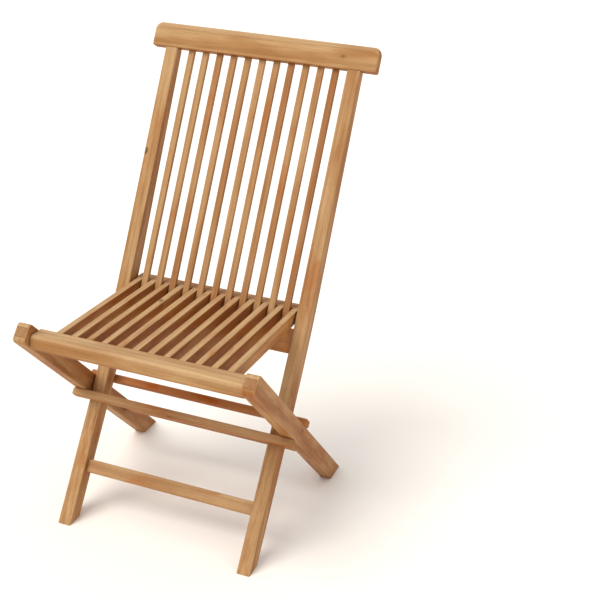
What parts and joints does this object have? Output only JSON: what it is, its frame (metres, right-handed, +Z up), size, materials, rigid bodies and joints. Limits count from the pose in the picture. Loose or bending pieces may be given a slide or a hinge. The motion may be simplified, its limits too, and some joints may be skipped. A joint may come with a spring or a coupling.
{
  "type": "folding slatted chair",
  "caption": "Folding armless garden chair: two crossing hardwood frames, a leaning back of upright slats under a wide crest rail and a nearly level seat of slats running front to back.",
  "frame": {"origin": "centre of the chair's footprint on the floor, at the level of the soles", "axes": "+Z up, -Y towards the sitter's knees (the front), +X to the viewer's right when facing the front"},
  "size_m": [0.465, 0.6, 0.8958],
  "materials": {
    "teak_frame": "sanded teak, no gloss finish, softly rounded edges",
    "teak_rail": "sanded teak, no gloss finish, rounded edges",
    "teak_back_slat": "sanded teak strip, tone differs from slat to slat",
    "teak_seat_slat": "sanded teak strip, paler on top, redder on its sides",
    "brass_pin": "plain turned rod, hidden in the wood"
  },
  "bodies": {
    "back_frame": {"stile_left": "teak_frame", "stile_right": "teak_frame", "crest_rail": "teak_rail", "lower_back_rail": "teak_rail", "front_stretcher": "teak_rail", "back_slat_01": "teak_back_slat", "back_slat_02": "teak_back_slat", "back_slat_03": "teak_back_slat", "back_slat_04": "teak_back_slat", "back_slat_05": "teak_back_slat", "back_slat_06": "teak_back_slat", "back_slat_07": "teak_back_slat", "back_slat_08": "teak_back_slat", "back_slat_09": "teak_back_slat", "back_slat_10": "teak_back_slat", "back_slat_11": "teak_back_slat"},
    "leg_frame": {"leg_left": "teak_frame", "leg_right": "teak_frame", "front_crossbar": "teak_rail", "rear_crossbar": "teak_rail", "rear_stretcher": "teak_rail", "seat_bearer": "teak_rail", "crossing_pin_left": "brass_pin", "crossing_pin_right": "brass_pin", "seat_pin_left": "brass_pin", "seat_pin_right": "brass_pin"},
    "seat": {"seat_front_rail": "teak_rail", "seat_rear_rail": "teak_rail", "seat_slat_01": "teak_seat_slat", "seat_slat_02": "teak_seat_slat", "seat_slat_03": "teak_seat_slat", "seat_slat_04": "teak_seat_slat", "seat_slat_05": "teak_seat_slat", "seat_slat_06": "teak_seat_slat", "seat_slat_07": "teak_seat_slat", "seat_slat_08": "teak_seat_slat", "seat_slat_09": "teak_seat_slat", "seat_slat_10": "teak_seat_slat", "seat_slat_11": "teak_seat_slat", "seat_slat_12": "teak_seat_slat"}
  },
  "joints": [
    {"name": "leg_hinge", "type": "hinge", "parent": "back_frame", "child": "leg_frame", "pos_m": [0, -0.03403, 0.2282], "axis": [-1, 0, 0], "range_deg": [0, 70]},
    {"name": "seat_hinge", "type": "hinge", "parent": "leg_frame", "child": "seat", "pos_m": [0, -0.26573, 0.428], "axis": [1, 0, 0], "range_deg": [0, 121.5]}
  ],
  "couplings": [
    {"joint": "seat_hinge", "follows": "leg_hinge", "ratio": 1.73}
  ]
}
